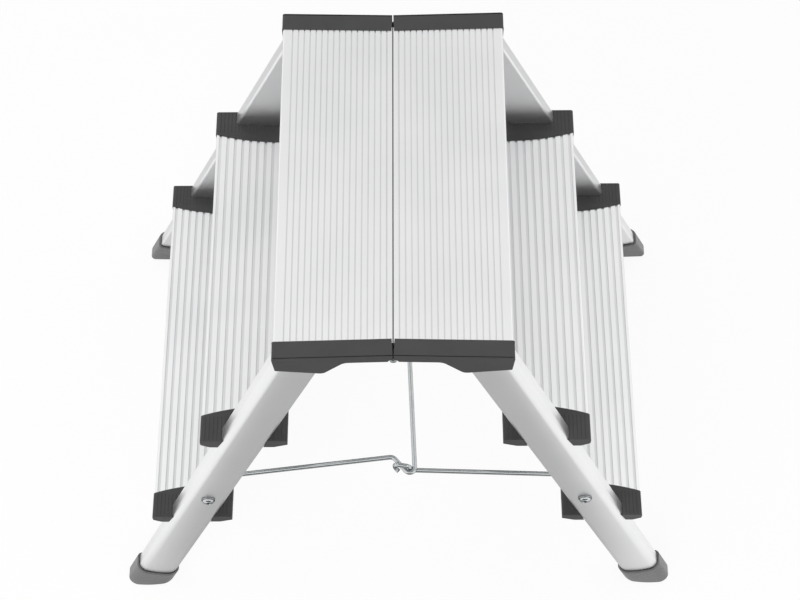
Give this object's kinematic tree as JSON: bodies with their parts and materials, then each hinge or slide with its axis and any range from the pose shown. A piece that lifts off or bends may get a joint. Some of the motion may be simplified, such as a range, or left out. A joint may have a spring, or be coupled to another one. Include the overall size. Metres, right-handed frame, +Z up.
{
  "type": "folding step stool",
  "caption": "Double-sided folding step stool with crowned aluminium tube legs, grooved treads, dark end caps, plastic feet and a hooked wire stay that limits the spread.",
  "frame": {"origin": "centre of the footprint, on the floor", "axes": "+X is the climbing direction, towards the steps on the right in the picture; +Y runs along the treads, away from the camera; +Z is up"},
  "size_m": [0.7762, 0.5574, 0.6913],
  "materials": {
    "leg_aluminium": "satin, drawn tube",
    "tread_aluminium": "satin, extruded",
    "rivet_aluminium": "plain",
    "cap_plastic": "moulded, fine grain",
    "foot_rubber": "moulded, matte",
    "zinc_steel": "bright zinc plate",
    "dark_washer": "dull plate"
  },
  "bodies": {
    "left_frame": {"left_foot_far": "foot_rubber", "left_foot_near": "foot_rubber", "left_leg_far": "leg_aluminium", "left_leg_near": "leg_aluminium", "left_leg_rivets": "rivet_aluminium", "left_low_cap_far": "cap_plastic", "left_low_cap_near": "cap_plastic", "left_low_tread": "tread_aluminium", "left_mid_cap_far": "cap_plastic", "left_mid_cap_near": "cap_plastic", "left_mid_tread": "tread_aluminium", "left_stay_bolts": "zinc_steel", "left_stay_head_washers": "dark_washer", "left_stay_nuts": "zinc_steel", "left_stay_spacers": "zinc_steel", "left_stay_washers": "zinc_steel", "left_top_cap_far": "cap_plastic", "left_top_cap_near": "cap_plastic", "left_top_tread": "tread_aluminium", "left_tread_screws": "zinc_steel", "hinge_pin": "zinc_steel"},
    "right_frame": {"right_foot_far": "foot_rubber", "right_foot_near": "foot_rubber", "right_leg_far": "leg_aluminium", "right_leg_near": "leg_aluminium", "right_leg_rivets": "rivet_aluminium", "right_low_cap_far": "cap_plastic", "right_low_cap_near": "cap_plastic", "right_low_tread": "tread_aluminium", "right_mid_cap_far": "cap_plastic", "right_mid_cap_near": "cap_plastic", "right_mid_tread": "tread_aluminium", "right_stay_bolts": "zinc_steel", "right_stay_head_washers": "dark_washer", "right_stay_nuts": "zinc_steel", "right_stay_spacers": "zinc_steel", "right_stay_washers": "zinc_steel", "right_top_cap_far": "cap_plastic", "right_top_cap_near": "cap_plastic", "right_top_tread": "tread_aluminium", "right_tread_screws": "zinc_steel"},
    "stay_bow": {"stay_bow": "zinc_steel"},
    "stay_link_near": {"stay_link_near": "zinc_steel"},
    "stay_link_far": {"stay_link_far": "zinc_steel"}
  },
  "joints": [
    {"name": "fold_hinge", "type": "hinge", "parent": "left_frame", "child": "right_frame", "pos_m": [0, 0, 0.676], "axis": [0, 1, 0], "range_deg": [0, 42]},
    {"name": "bow_pivot", "type": "hinge", "parent": "left_frame", "child": "stay_bow", "pos_m": [-0.24229, 0, 0.3], "axis": [0, 1, 0], "range_deg": [-41.6, 0]},
    {"name": "near_link_pivot", "type": "hinge", "parent": "right_frame", "child": "stay_link_near", "pos_m": [0.24229, -0.21686, 0.3], "axis": [0, 1, 0], "range_deg": [0, 52.3]},
    {"name": "far_link_pivot", "type": "hinge", "parent": "right_frame", "child": "stay_link_far", "pos_m": [0.24229, 0.21686, 0.3], "axis": [0, 1, 0], "range_deg": [0, 52.3]}
  ],
  "couplings": [
    {"joint": "bow_pivot", "follows": "fold_hinge", "ratio": -0.98972},
    {"joint": "near_link_pivot", "follows": "fold_hinge", "ratio": 1.2449},
    {"joint": "far_link_pivot", "follows": "fold_hinge", "ratio": 1.2449}
  ]
}
